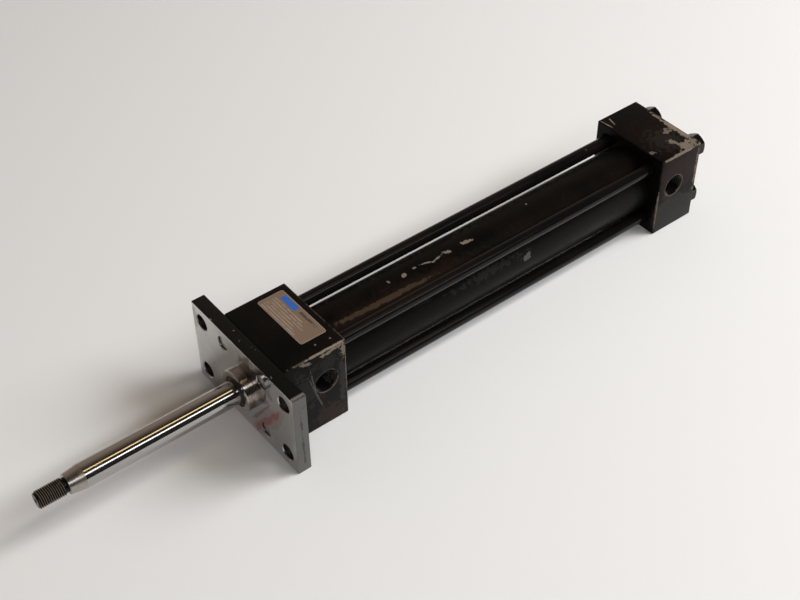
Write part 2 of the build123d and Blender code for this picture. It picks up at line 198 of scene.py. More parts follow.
def turned(points, rounding=0.0, steps=96):
    """A closed shape of revolution about X from (x, radius) corners, its corners rounded."""
    shape = bmesh.new()
    corners = [shape.verts.new((x, 0.0, r)) for x, r in points]
    for a, b in zip(corners, corners[1:] + corners[:1]):
        if max(a.co.z, b.co.z) > 0:
            shape.edges.new((a, b))
    if rounding:
        bmesh.ops.bevel(
            shape, geom=[v for v in corners if v.co.z > 0], offset=rounding, offset_type="OFFSET",
            affect="VERTICES", segments=3, profile=0.5, material=-1, clamp_overlap=True,
        )
    bmesh.ops.spin(
        shape, geom=shape.verts[:] + shape.edges[:], cent=(0, 0, 0), axis=(1, 0, 0), angle=tau,
        steps=steps, use_merge=True,
    )
    bmesh.ops.remove_doubles(shape, verts=shape.verts, dist=1e-7)
    bmesh.ops.recalc_face_normals(shape, faces=shape.faces)
    return shape


def soften(shape, edges, rounding, segments):
    """Rounds those edges of the shape."""
    bmesh.ops.bevel(
        shape, geom=edges, offset=rounding, offset_type="OFFSET", affect="EDGES", segments=segments,
        profile=0.5, material=-1,
    )
    return shape


def box(low, high):
    """A box between two corners."""
    shape = bmesh.new()
    bmesh.ops.create_cube(shape, size=1.0)
    bmesh.ops.scale(shape, vec=high - low, verts=shape.verts)
    bmesh.ops.translate(shape, vec=(low + high) / 2, verts=shape.verts)
    return shape


def block(low, high, rounding):
    """A box with rounded edges."""
    shape = box(low, high)
    return soften(shape, shape.edges[:], rounding, 4)


def drill(x_low, x_high, radius, low_break=0.0, high_break=0.0, steps=64):
    """A cutter for a round hole along X that is open at both ends, with its edges broken."""
    return turned([
        (x_low - MARGIN, 0), (x_low - MARGIN, radius + (low_break + MARGIN if low_break else 0)),
        (x_low + low_break, radius), (x_high - high_break, radius),
        (x_high + MARGIN, radius + (high_break + MARGIN if high_break else 0)), (x_high + MARGIN, 0),
    ], steps=steps)


def moved(shape, y=0.0, z=0.0, x=0.0):
    """The shape, carried off the axis."""
    bmesh.ops.translate(shape, vec=(x, y, z), verts=shape.verts)
    return shape


def quarter_turn(shape, axis):
    """The shape, turned a quarter about an axis."""
    bmesh.ops.rotate(shape, cent=(0, 0, 0), matrix=Matrix.Rotation(pi / 2, 3, axis), verts=shape.verts)
    return shape


def facing_side(shape, x, z):
    """A shape made along +X, turned to lie along +Y through (x, z)."""
    return moved(quarter_turn(shape, "Z"), x=x, z=z)


def at_tie_rods(cutter):
    """What cutter(radius of the tie rod) makes, once at each tie rod."""
    cutters = []
    for number in TIE_RODS:
        low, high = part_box(f"tie_rod_{number}")
        cutters.append(moved(cutter((high.z - low.z) / 2), (low.y + high.y) / 2, (low.z + high.z) / 2))
    return cutters


def mesh_of(name, shape):
    """A mesh of the shape, which is used up."""
    mesh = bpy.data.meshes.new(name)
    shape.to_mesh(mesh)
    shape.free()
    return mesh


def new_object(name, data):
    """A new object in the scene, which holds the data."""
    made = bpy.data.objects.new(name, data)
    bpy.context.scene.collection.objects.link(made)
    return made


def carve(shape, tools, operation="DIFFERENCE"):
    """The shape after each tool has been cut from it, joined to it, or kept as its common part."""
    for tool in tools:
        pair = [new_object("carving", mesh_of("carving", part)) for part in (shape, tool)]
        cut = pair[0].modifiers.new("carve", "BOOLEAN")
        cut.operation = operation
        cut.solver = "EXACT"
        cut.object = pair[1]
        shape = bmesh.new()
        shape.from_object(pair[0], bpy.context.evaluated_depsgraph_get())
        for holder in pair:
            mesh = holder.data
            bpy.data.objects.remove(holder)
            bpy.data.meshes.remove(mesh)
    return shape


def screw_thread(x_low, x_high, root, crest, pitch, allowed, steps=36):
    """A helical tooth about X. A crest inside the root makes an inside thread. allowed(x) is the radius
    that the tooth is turned down, or opened out, to."""
    shape = bmesh.new()
    side = 1 if crest > root else -1
    base = root - side * pitch / 10
    tooth = [
        (-0.5, base), (-0.5, root), (-THREAD_FLAT, crest), (THREAD_FLAT, crest), (0.5, root), (0.5, base),
    ]
    corners = [shape.verts.new((x_low + (0.5 + t) * pitch, 0.0, r)) for t, r in tooth]
    edges = [shape.edges.new(pair) for pair in zip(corners, corners[1:] + corners[:1])]
    count = round(((x_high - x_low) / pitch - 1) * steps)
    bmesh.ops.spin(
        shape, geom=corners + edges, cent=(0, 0, 0), axis=(1, 0, 0), dvec=(pitch / steps, 0, 0),
        angle=tau * count / steps, steps=count, use_merge=False,
    )
    bmesh.ops.edgeloop_fill(shape, edges=[e for e in shape.edges if e.is_boundary])
    for v in shape.verts:
        r = hypot(v.co.y, v.co.z)
        if side * (r - allowed(v.co.x)) > 0:
            v.co.yz = v.co.yz * (allowed(v.co.x) / r)
    bmesh.ops.recalc_face_normals(shape, faces=shape.faces)
    return shape


def joined(*shapes):
    """Several shapes as one."""
    whole = bmesh.new()
    for shape in shapes:
        mesh = mesh_of("joining", shape)
        whole.from_mesh(mesh)
        bpy.data.meshes.remove(mesh)
    return whole


def piece(shape, name, body, materials, stands_for=(), sharp=20.0):
    """Makes the shape an object that rides on a body and takes the place of its CAD nodes."""
    mesh = mesh_of(name, shape)
    mesh.shade_smooth()
    mesh.set_sharp_from_angle(angle=radians(sharp))
    for material in materials:
        mesh.materials.append(material)
    made = new_object(name, mesh)
    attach(made, body)
    if stands_for:
        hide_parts(*stands_for)
    return made


# ---- Finishes ----

def connect(tree, made, sockets):
    """Puts values and links into a node's sockets."""
    for name, value in sockets.items():
        if isinstance(value, bpy.types.NodeSocket):
            tree.links.new(value, made.inputs[name])
        else:
            made.inputs[name].default_value = value


def node(tree, kind, sockets=(), **settings):
    """Adds a shader node, with its settings, then its sockets' values and links."""
    made = tree.nodes.new("ShaderNode" + kind)
    for name, value in settings.items():
        setattr(made, name, value)
    connect(tree, made, dict(sockets))
    return made


def place_of(tree):
    """A point's place on its piece, as X, Y and Z."""
    return node(tree, "SeparateXYZ", {0: node(tree, "TexCoord").outputs["Object"]}).outputs


def grain(tree, size, stretch=(1, 1, 1), detail=3.0, seed=0.0):
    """Noise whose features are about that many metres across, longer along the axes that are stretched."""
    place = node(tree, "TexCoord").outputs["Object"]
    scaled = node(tree, "Mapping", {
        "Vector": place, "Location": (seed, seed, seed), "Scale": [1 / (size * s) for s in stretch],
    })
    return node(tree, "TexNoise", {
        "Vector": scaled.outputs[0], "Scale": 0.5, "Detail": detail, "Roughness": 0.6,
    }).outputs["Fac"]


def share(tree, value, low, high, to_low=0.0, to_high=1.0):
    """The value stretched so that low gives to_low and high gives to_high, and no further."""
    return node(tree, "MapRange", {
        "Value": value, "From Min": low, "From Max": high, "To Min": to_low, "To Max": to_high,
    }, interpolation_type="SMOOTHSTEP" if (to_low, to_high) == (0.0, 1.0) else "LINEAR").outputs[0]


def ramp(tree, mask, at_0, at_1):
    """A value that goes evenly from at_0 to at_1 as the mask goes from 0 to 1."""
    return share(tree, mask, 0.0, 1.0, at_0, at_1)


def patches(tree, millimetres, low, high, **shape):
    """A mask of patches about that many millimetres across. The higher low and high are, the fewer there
    are, and the nearer they are to each other, the sharper."""
    return share(tree, grain(tree, millimetres * MM, **shape), low, high)


def both(tree, a, b, operation="MULTIPLY"):
    """Two masks as one."""
    return node(tree, "Math", {0: a, 1: b}, operation=operation, use_clamp=True).outputs[0]


def spot(tree, centre, reach, turn=(0, 0, 0), ragged=0.35, grit=1.6, seed=0.0):
    """A ragged patch about a centre in millimetres. reach is its half size along its own three axes, turn its
    angles in degrees, and grit the size of its ragged edge's bites, all as they lie on the piece."""
    place = node(tree, "TexCoord").outputs["Object"]
    local = node(tree, "Mapping", {
        "Vector": place, "Location": [c * MM for c in centre], "Rotation": [radians(a) for a in turn],
        "Scale": [r * MM for r in reach],
    }, vector_type="TEXTURE")
    away = node(tree, "VectorMath", {0: local.outputs[0]}, operation="LENGTH").outputs["Value"]
    rough = share(tree, grain(tree, grit * MM, seed=seed), 0.25, 0.75, -ragged, ragged)
    return share(tree, both(tree, away, rough, "ADD"), 1.0, 0.72)


def past(tree, axis, low, high):
    """0 where a point's place on that axis is short of low, in millimetres, and 1 where it is past high."""
    return share(tree, place_of(tree)[axis], low * MM, high * MM)


def between(tree, axis, low, high, soft=0.15):
    """1 between low and high on that axis, in millimetres."""
    return both(tree, past(tree, axis, low - soft, low + soft), past(tree, axis, high + soft, high - soft))


def off_axis(tree, reach):
    """1 where a point is reach or more from the axis, measured along Y or Z as on a square block."""
    place = place_of(tree)
    y, z = (node(tree, "Math", {0: place[axis]}, operation="ABSOLUTE").outputs[0] for axis in "YZ")
    further = node(tree, "Math", {0: y, 1: z}, operation="MAXIMUM").outputs[0]
    return share(tree, further, reach - 0.5 * MM, reach)


def from_axis(tree):
    """How far a point is from the rod's axis."""
    place = place_of(tree)
    across = node(tree, "CombineXYZ", {0: place["Y"], 1: place["Z"]})
    return node(tree, "VectorMath", {0: across.outputs[0]}, operation="LENGTH").outputs["Value"]


def worn_edges(tree, width, cover, seed=0.0):
    """Where an edge within width is rubbed, broken up so that about that cover of it shows."""
    rounded = node(tree, "Bevel", {"Radius": width}, samples=4).outputs[0]
    true = node(tree, "NewGeometry").outputs["True Normal"]
    alike = node(tree, "VectorMath", {0: rounded, 1: true}, operation="DOT_PRODUCT").outputs["Value"]
    edge = share(tree, alike, 0.995, 0.90)
    broken = patches(tree, 5, 0.62 - cover * 0.4, 0.70 - cover * 0.4, detail=5.0, seed=seed)
    return both(tree, edge, broken)


def layered(tree, base, *layers):
    """The base colour or value under (mask, colour or value, strength) layers, each over the one before.
    A layer without a strength is as strong as its mask."""
    for mask, over, *strength in layers:
        if strength:
            mask = both(tree, mask, *strength)
        if isinstance(over, float):
            mix = node(tree, "Mix", {0: mask, 2: base, 3: over}, data_type="FLOAT")
            base = mix.outputs[0]
        else:
            mix = node(tree, "Mix", {0: mask, 6: base, 7: over}, data_type="RGBA")
            base = mix.outputs[2]
    return base


def finish(name, build):
    """The material of that name, its nodes made by build(tree, shader) the first time it is asked for."""
    made = bpy.data.materials.get("cylinder " + name)
    if made is None:
        made = bpy.data.materials.new("cylinder " + name)
        made.use_nodes = True
        tree = made.node_tree
        tree.nodes.clear()
        shader = node(tree, "BsdfPrincipled")
        node(tree, "OutputMaterial", {"Surface": shader.outputs[0]})
        build(tree, shader)
    return made


def relief(tree, *heights):
    """A normal from (height, depth in metres) pairs, the finest first."""
    normal = None
    for height, depth in heights:
        sockets = {"Height": height, "Distance": depth, "Strength": 1.0}
        if normal is not None:
            sockets["Normal"] = normal
        normal = node(tree, "Bump", sockets).outputs[0]
    return normal


def colours():
    """The scene's colours."""
    return bpy.context.scene.cylinder_colours


def sizes():
    """The scene's sizes."""
    return bpy.context.scene.cylinder_sizes


def enamel(name, cover, marks, front):
    """Black oil-based enamel, brushed and sprayed over sawn steel: semi-gloss, with orange peel, dull rubbed
    patches, brown oil film, fine scratches, and bare steel in the chips and along the edges, save the edges
    that lie within 3 mm of front. On the tube, its marks also paint a brown reflection and a pale highlight."""
    def build(tree, shader):
        c = colours()
        haze = patches(tree, 14, 0.35, 0.75, detail=4.0)
        scuffs = patches(tree, 2.2, 0.66, 0.76, stretch=(7, 1, 1), detail=5.0, seed=3.0)
        grit = patches(tree, 0.9, 0.56, 0.70, detail=5.0, seed=4.0)
        edges = both(tree, worn_edges(tree, 1.2 * MM, cover), off_axis(tree, HEAD_HIGH.z - 1.5 * MM))
        edges = both(tree, edges, past(tree, "X", front / MM - 2, front / MM - 3))
        flecks = patches(tree, 3.2, 0.745, 0.765, detail=6.0, seed=7.0)
        layers = [(haze, c.grime, 0.16), (scuffs, c.rubbed, 0.12), (both(tree, grit, haze), c.rubbed, 0.10)]
        bare = both(tree, edges, flecks, "MAXIMUM")
        for number, (tone, centre, reach, ragged, strength, *turn) in enumerate(marks):
            mask = spot(tree, centre, reach, *turn, ragged=ragged, seed=11.0 + number)
            if tone == "bare":
                bare = both(tree, bare, both(tree, mask, strength), "MAXIMUM")
            else:
                layers.append((mask, getattr(c, tone), strength))
        layers.append((both(tree, bare, ramp(tree, grit, 1.0, 0.6)), c.bare))
        patchy = layered(tree, ramp(tree, haze, 0.34, 0.50), (scuffs, 0.6), (bare, 0.62))
        peel = grain(tree, 1.1 * MM, detail=1.0, seed=5.0)
        thin = ramp(tree, bare, 1.0, 0.0)
        connect(tree, shader, {
            "Base Color": layered(tree, c.paint, *layers), "Roughness": patchy, "IOR": 1.22,
            "Specular IOR Level": 0.3,
            "Normal": relief(tree, (peel, 0.02 * MM), (scuffs, 0.015 * MM), (thin, 0.06 * MM)),
        })
    return finish(name, build)


def ground_steel():
    """Mild steel, surface-ground: a satin grey mirror with fine lines one way, brown stains, edges rubbed
    brighter, and black enamel sprayed over its top and back. Painted shade darkens its holes, the face above
    the pilot and the near end face, and painted reflections lie across the face in red and dark diagonal
    streaks."""
    def build(tree, shader):
        c = colours()
        lines = grain(tree, 0.35 * MM, stretch=(1, 60, 1), detail=2.0)
        clouds = patches(tree, 20, 0.38, 0.72, detail=5.0, seed=2.0)
        speckle = patches(tree, 2.4, 0.60, 0.72, detail=6.0, seed=4.0)
        layers = [(clouds, c.stain, 0.25), (speckle, c.stain, 0.4)]
        for tone, centre, reach, ragged, strength, grit, seed, *turn in FLANGE_MARKS:
            mask = spot(tree, centre, reach, *turn, ragged=ragged, grit=grit, seed=seed)
            layers.append((mask, getattr(c, tone), strength))
        edges = worn_edges(tree, 0.9 * MM, 0.75)
        # Painted shade: the flange's near end face is made a duller, darker grey.
        near_end_shade = both(tree, past(tree, "Y", 53.2, 53.8), 0.8)
        inside = both(tree, between(tree, "Y", -53.2, 53.2), between(tree, "Z", -31, 31))
        # Painted shade: the walls of the holes are darkened with the grime colour.
        holes = both(tree, both(tree, inside, between(tree, "X", -9.1, -0.8)), 0.85)
        paint = both(tree, past(tree, "Z", 31.3, 31.6), past(tree, "Y", 53.2, 50.5))
        paint = both(tree, paint, past(tree, "X", -9.1, -9.4), "MAXIMUM")
        paint = both(tree, paint, patches(tree, 3, 0.3, 0.36, detail=5.0, seed=9.0))
        layers += [(edges, c.turned, 0.6), (near_end_shade, c.rubbed), (holes, c.grime), (paint, c.paint)]
        rough = layered(
            tree, ramp(tree, clouds, 0.09, 0.20), (speckle, 0.34), (near_end_shade, 0.4), (holes, 0.5),
            (paint, 0.42),
        )
        connect(tree, shader, {
            "Base Color": layered(tree, c.flange, *layers), "Metallic": ramp(tree, paint, 1.0, 0.0),
            "Roughness": rough, "Specular IOR Level": 0.2,
            "Normal": relief(tree, (lines, 0.003 * MM), (speckle, 0.006 * MM)),
        })
    return finish("ground steel", build)


def turned_steel(name, cover, smooth, dull):
    """Lathe-turned steel: bright grey with feed rings round the axis, on its sides and its faces, that draw
    each light out along X, and a thin brown film over about that cover of it."""
    def build(tree, shader):
        c = colours()
        across = node(tree, "CombineXYZ", {0: place_of(tree)["X"], 1: from_axis(tree)})
        rings = node(tree, "TexNoise", {
            "Vector": across.outputs[0], "Scale": 0.5 / (0.22 * MM), "Detail": 2.0,
        }).outputs["Fac"]
        film = patches(tree, 5, 0.42, 0.72, detail=5.0, seed=1.0)
        connect(tree, shader, {
            "Base Color": layered(tree, c.turned, (film, c.stain, cover)), "Metallic": 1.0,
            "Roughness": ramp(tree, film, smooth, dull), "Normal": relief(tree, (rings, 0.08 * MM)),
        })
    return finish(name, build)


def hard_chrome():
    """Hard chrome, ground and polished: a mirror with very fine rings round the rod and a faint oil haze."""
    def build(tree, shader):
        c = colours()
        rings = grain(tree, 0.3 * MM, stretch=(1, 500, 500), detail=3.0)
        haze = patches(tree, 9, 0.4, 0.8, stretch=(2, 1, 1), detail=4.0, seed=1.0)
        connect(tree, shader, {
            "Base Color": layered(tree, c.chrome, (haze, c.turned, 0.35)), "Metallic": 1.0,
            "Roughness": ramp(tree, haze, 0.08, 0.17), "Normal": relief(tree, (rings, 0.0012 * MM)),
        })
    return finish("hard chrome", build)


def black_oxide(name, cover, crest=None):
    """Black oxide and old paint on cold-drawn steel: near black, waxy, with drawing lines along the rod,
    rubbed to grey steel on corners, and on the crest of a thread about the axis, where the lighter crests are
    also painted glints."""
    def build(tree, shader):
        c = colours()
        lines = grain(tree, 0.5 * MM, stretch=(90, 1, 1), detail=3.0)
        dull = patches(tree, 8, 0.4, 0.75, stretch=(3, 1, 1), detail=4.0, seed=2.0)
        edges = worn_edges(tree, 0.5 * MM, cover, 3.0)
        nicks = patches(tree, 2.5, 0.74, 0.77, stretch=(2, 1, 1), detail=5.0, seed=9.0)
        bare = both(tree, edges, nicks, "MAXIMUM")
        # Partly wear and partly painted glints: patches of the thread's crests are lightened to bare steel.
        if crest:
            tops = share(tree, from_axis(tree), crest - 0.34 * MM, crest - 0.2 * MM)
            rubbed = share(tree, grain(tree, 5 * MM, detail=3.0, seed=6.0), 0.35, 0.55, 0.15, 0.6)
            bare = both(tree, bare, both(tree, tops, rubbed), "MAXIMUM")
        colour = layered(tree, c.oxide, (dull, c.grime, 0.15), (bare, c.bare, 0.8))
        connect(tree, shader, {
            "Base Color": colour, "IOR": 1.35, "Specular IOR Level": 0.3,
            "Roughness": layered(tree, ramp(tree, dull, 0.13, 0.27), (bare, 0.55)),
            "Normal": relief(tree, (lines, 0.02 * MM), (nicks, 0.04 * MM)),
        })
    return finish(name, build)


def foil_plate():
    """Satin aluminium foil, brushed one way and yellowed: a plain blue panel, a blank dark bar and pale ruled
    lines, all left blank."""
    def build(tree, shader):
        c = colours()
        back = PLATE_LOW.x / MM

        def panel_of(x_low, x_high, y_low, y_high, soft=0.15):
            """A panel, its X from the plate's back edge, in millimetres."""
            along = between(tree, "X", back + x_low, back + x_high, soft)
            return both(tree, along, between(tree, "Y", y_low, y_high))

        brushed = grain(tree, 0.25 * MM, stretch=(1, 80, 1), detail=2.0)
        handled = patches(tree, 5, 0.4, 0.7, detail=5.0)
        worn = patches(tree, 0.8, 0.38, 0.50, stretch=(1, 3, 1), detail=4.0, seed=2.0)
        panel = panel_of(1.2, 5.6, -21.5, -6.8)
        bar = both(tree, panel_of(2.2, 4.2, -3.5, 13.5), worn)
        lines = 0.0
        for row in range(6):
            x = 7.2 + row * 2.0
            lines = both(tree, lines, panel_of(x, x + 0.5, -24.0, 4.5 + 3 * (row % 3), 0.2), "MAXIMUM")
        lines = both(tree, lines, worn)
        rim = share(tree, panel_of(0.6, 18.4, -26.4, 19.0), 1.0, 0.0)
        colour = layered(
            tree, c.plate, (handled, c.stain, 0.3), (lines, c.plate_line, 0.7),
            (rim, c.plate_line, 0.4), (bar, c.plate_rule, 0.85), (panel, c.plate_band),
        )
        metal = layered(tree, ramp(tree, handled, 0.6, 0.4), (lines, 0.2), (bar, 0.0), (panel, 0.0))
        connect(tree, shader, {
            "Base Color": colour, "Metallic": metal, "Roughness": ramp(tree, handled, 0.38, 0.52),
            "Normal": relief(tree, (brushed, 0.01 * MM), (handled, 0.03 * MM)),
        })
    return finish("foil plate", build)


def machined(name, tone, metallic, low, high):
    """A machined or moulded inner piece: one tone with fine turning marks and slightly uneven gloss."""
    def build(tree, shader):
        rings = grain(tree, 0.3 * MM, stretch=(1, 60, 60), detail=2.0)
        uneven = patches(tree, 4, 0.35, 0.7, detail=4.0, seed=6.0)
        dark = tuple(v * 0.6 for v in tone[:3]) + (1.0,)
        connect(tree, shader, {
            "Base Color": layered(tree, tone, (uneven, dark, 0.5)), "Metallic": metallic,
            "Roughness": ramp(tree, uneven, low, high), "Normal": relief(tree, (rings, 0.01 * MM)),
        })
    return finish(name, build)


# Marks on the painted pieces: colour, centre and half size in mm, raggedness, strength, and the turn in
# degrees of those that don't lie along the axes.
HEAD_MARKS = (
    ("bare", (-40, 31.75, 31.4), (17, 1.3, 1.1), 0.35, 1.0),
    ("bare", (-44, 31.7, 28.8), (9, 2, 1.6), 0.9, 0.8, (0, 4, 0)),
    ("bare", (-24, 31.7, 28.6), (4.5, 2, 1.2), 0.9, 0.7, (0, -20, 0)),
    ("bare", (-51.5, 31.7, 25), (2.0, 2, 4.5), 1.0, 0.7),
    ("rubbed", (-32, 31.7, -4), (0.6, 2, 19), 0.5, 0.9, (0, 17, 0)),
    ("rubbed", (-29, 31.7, 12), (0.5, 2, 12), 0.6, 0.8, (0, 8, 0)),
    ("rubbed", (-24, 31.7, 6), (8, 3, 17), 0.9, 0.15, (0, 20, 0)),
    ("rubbed", (-50.5, 31.7, 0), (2.6, 3, 26), 0.8, 0.25),
    ("rubbed", (-40, 31.7, 20), (11, 3, 5), 1.0, 0.12),
    ("bare", (-53.7, 31.6, 5), (0.6, 1.0, 26), 0.4, 0.7),
    ("grime", (-40, 31.7, -24), (12, 4, 9), 0.6, 0.9),
    ("bare", (-37, 24.5, 31.7), (0.7, 0.7, 1), 0.5, 0.7),
    ("bare", (-47.3, 25.4, 31.7), (0.8, 0.6, 1), 0.5, 0.7),
)
CAP_MARKS = (
    ("grime", (-343, 10, 20), (26, 34, 24), 0.35, 0.2),
    ("rubbed", (-341, 31.7, -19.5), (30, 4, 17.0), 0.25, 0.26, (0, -6, 0)),
    ("grime", (-331, 31.7, -1), (3.4, 3, 2.6), 0.4, 0.9),
    ("grime", (-341, 31.7, 16), (22, 3, 17), 0.5, 0.45, (0, -10, 0)),
    ("bare", (-342, 31.4, 31.4), (18, 1.4, 1.3), 0.5, 0.8),
    ("bare", (-359.5, 10, 31.4), (2.2, 22, 3), 0.6, 0.9),
    ("bare", (-324.3, 31.4, -8), (0.6, 1.0, 19), 0.45, 0.75),
    ("bare", (-325.6, -25, 31.7), (0.6, 6.5, 2), 0.3, 0.9, (0, 0, 6)),
    ("bare", (-331, -25, 31.7), (0.7, 5.0, 2), 0.4, 0.9, (0, 0, -14)),
    ("bare", (-353, 8, 31.7), (3.5, 3.0, 2), 1.0, 0.6),
    ("bare", (-347, 19, 31.7), (2.2, 5.0, 2), 1.0, 0.7, (0, 0, 30)),
    ("bare", (-327, 19, 31.7), (2.0, 1.8, 2), 1.0, 0.5),
    ("bare", (-352, 27, 31.7), (8, 4, 2), 0.9, 0.8),
    ("rubbed", (-345, 14, 31.7), (14, 14, 2), 1.0, 0.12),
    ("bare", (-360, 31.4, 10), (1.4, 1.4, 20), 0.7, 0.6),
)
TUBE_MARKS = (
    # Painted reflection: a light brown streak along the upper near side of the tube, near the head.
    ("film", (-98, 10.8, 21.2), (44, 1.9, 3), 0.35, 0.75, (0, 0, -1.5)),
    ("bare", (-121.6, 2.4, 23.7), (2.2, 1.6, 2), 0.7, 0.85, (0, 0, 25)),
    ("bare", (-130.6, 1.3, 23.8), (1.7, 0.9, 2), 0.5, 0.8),
    ("bare", (-139.5, 2.2, 23.8), (4.6, 0.8, 2), 0.6, 0.85, (0, 0, -14)),
    ("bare", (-148.0, 3.2, 23.6), (5.6, 0.8, 2), 0.7, 0.85, (0, 0, 12)),
    ("bare", (-157.0, 2.4, 23.7), (3.4, 1.3, 2), 0.7, 0.85, (0, 0, -10)),
    ("bare", (-173.2, 2.5, 23.7), (4.4, 1.4, 2), 0.9, 0.9, (0, 0, -12)),
    ("bare", (-109.7, 1.3, 23.8), (1.0, 1.5, 2), 0.5, 0.8, (0, 0, 15)),
    ("rubbed", (-208.6, 23.3, 5.0), (4.2, 2, 2.6), 0.8, 1.0, (0, 15, 0)),
    ("bare", (-228.9, -1.7, 23.8), (0.8, 0.8, 2), 0.4, 0.7),
    ("rubbed", (-175, 22, 9), (30, 5, 3), 1.0, 0.12),
    ("grime", (-110, 14, 19), (70, 12, 8), 0.5, 0.25),
    # Painted highlight: a pale band along the far top side of the tube.
    ("rubbed", (-190, -15, 18), (175, 7, 9), 0.8, 0.18),
)

# Marks on the flange: the same, with the size of their edges' bites in mm and a seed before the turn.
FLANGE_MARKS = (
    ("stain", (0, 21, 14), (4, 12, 9), 0.7, 0.5, 4.0, 0.0, (35, 0, 0)),
    # Painted shade and dark reflection on the face above the pilot.
    ("grime", (0, 3, 20), (4, 7, 13), 0.5, 0.55, 4.0, 5.0, (-25, 0, 0)),
    ("bare", (0, -53, 18), (4, 5, 14), 0.5, 0.6, 4.0, 6.0),
    # Painted reflection: two red diagonal bands across the face, one wide and faint, one narrow.
    ("red_stain", (0, 23, -11), (4, 7.5, 32), 0.35, 0.3, 6.0, 12.0, (-38, 0, 0)),
    ("red_stain", (0, 23, -11), (4, 3.0, 27), 0.6, 0.7, 5.0, 8.0, (-38, 0, 0)),
    # Painted reflection: a thin dark diagonal streak beside the red bands.
    ("grime", (0, 17, -8), (4, 1.2, 24), 0.5, 0.5, 5.0, 9.0, (-36, 0, 0)),
    ("grime", (-5, 54, -8), (0.7, 2, 21), 1.0, 0.8, 2.5, 3.0, (0, 1, 0)),
)


# ---- The pieces, one operator each ----

class CYLINDER_OT_flange(Operator):
    """Rectangular plate with four bolt holes, the gland's opening and four tapped tie-rod holes"""
    bl_idname = "cylinder.flange"
    bl_label = "Mounting flange"

    def execute(self, context):
        s = sizes()
        low, high = FLANGE_LOW, FLANGE_HIGH
        tools = [drill(low.x, high.x, s.pilot / 2 + 0.04 * MM, high_break=0.1 * MM, steps=128)]
        for y in (-1, 1):
            for z in (-1, 1):
                bolt = drill(low.x, high.x, s.bolt_hole / 2, s.hole_break, s.hole_break)
                tools.append(moved(bolt, y * s.bolt_spacing_y / 2, z * s.bolt_spacing_z / 2))
        tools += at_tie_rods(lambda r: drill(low.x, high.x, r + 0.03 * MM, high_break=0.3 * MM, steps=48))
        shape = carve(block(low, high, s.flange_rounding), tools)
        piece(shape, "flange_plate", BARREL, [ground_steel()], ["mounting_flange"])
        return {"FINISHED"}


def end_block(name, low, high, spigot_to, bore, mount, material):
    """A square end block: spigot, stepped bore, tie-rod holes and a threaded side port at its mount."""
    s = sizes()
    side = 1 if spigot_to > high.x else -1
    root = high.x if side > 0 else low.x
    radius = s.bore / 2 - SPIGOT_PLAY
    floor = radius - SPIGOT_GROOVE_DEPTH
    near, far = ((root + spigot_to) / 2 + way * SPIGOT_GROOVE_WIDTH / 2 for way in (-side, side))
    spigot = turned([
        (root - side * MARGIN, 0), (root - side * MARGIN, radius), (root, radius), (near, radius),
        (near, floor), (far, floor), (far, radius), (spigot_to, radius), (spigot_to, 0),
    ])
    shape = carve(block(low, high, s.block_rounding), [spigot], "UNION")
    port_x, _, port_z = MOUNTS[mount]["pos_m"]
    port_root, passage = s.port / 2 + s.port_thread_depth, s.passage / 2
    bottom, mouth = high.y - s.port_depth, high.y - 0.1 * MM
    port = turned([
        (PASSAGE_FROM, 0), (PASSAGE_FROM, passage), (bottom - PORT_CONE, passage), (bottom, port_root),
        (high.y - PORT_BREAK, port_root), (high.y, port_root + PORT_BREAK),
        (high.y + MARGIN, port_root + PORT_BREAK), (high.y + MARGIN, 0),
    ], steps=80)
    holes = at_tie_rods(lambda r: drill(low.x, high.x, s.tie_rod_hole / 2, 0.4 * MM, 0.4 * MM, 48))
    shape = carve(shape, [turned(bore), *holes, facing_side(port, port_x, port_z)])
    piece(shape, name + "_block", BARREL, [material], [name])
    tooth = screw_thread(
        bottom + 0.4 * MM, mouth, port_root, s.port / 2, s.port_pitch,
        lambda y: max(s.port / 2, port_root - 0.1 * MM - (mouth - y)), 40,
    )
    thread = facing_side(tooth, port_x, port_z)
    # Painted shade: the port's thread takes the near-black oxide finish so that the port reads dark inside.
    piece(thread, name + "_port_thread", BARREL, [black_oxide("port thread", 0.3)])


class CYLINDER_OT_head(Operator):
    """Head block with the gland's pocket and the rod-end port"""
    bl_idname = "cylinder.head"
    bl_label = "Head"

    def execute(self, context):
        back, front = HEAD_LOW.x - MARGIN, HEAD_HIGH.x + MARGIN
        gland_end, step = GLAND_LOW.x - 0.5 * MM, GLAND_LOW.x + GLAND_STEP
        pocket, shoulder = GLAND_BODY + 0.03 * MM, GLAND_SHOULDER + 0.1 * MM
        bore = [
            (back, 0), (back, ROD_PASSAGE), (gland_end, ROD_PASSAGE), (gland_end, pocket), (step, pocket),
            (step, shoulder), (front, shoulder), (front, 0),
        ]
        low = Vector((TUBE_HIGH.x, HEAD_LOW.y, HEAD_LOW.z))
        material = enamel("black enamel on the head", 0.5, HEAD_MARKS, HEAD_HIGH.x)
        end_block("head", low, HEAD_HIGH, HEAD_LOW.x, bore, "rod_end_port", material)
        return {"FINISHED"}


class CYLINDER_OT_cap(Operator):
    """Cap block with its pocket and the cap-end port"""
    bl_idname = "cylinder.cap"
    bl_label = "Cap"

    def execute(self, context):
        floor, front = CAP_HIGH.x - CAP_POCKET_DEPTH, CAP_HIGH.x + MARGIN
        bore = [(floor, 0), (floor, CAP_POCKET), (front, CAP_POCKET), (front, 0)]
        high = Vector((TUBE_LOW.x, CAP_HIGH.y, CAP_HIGH.z))
        material = enamel("black enamel on the cap", 0.8, CAP_MARKS, TUBE_LOW.x)
        end_block("cap", CAP_LOW, high, CAP_HIGH.x, bore, "cap_end_port", material)
        return {"FINISHED"}


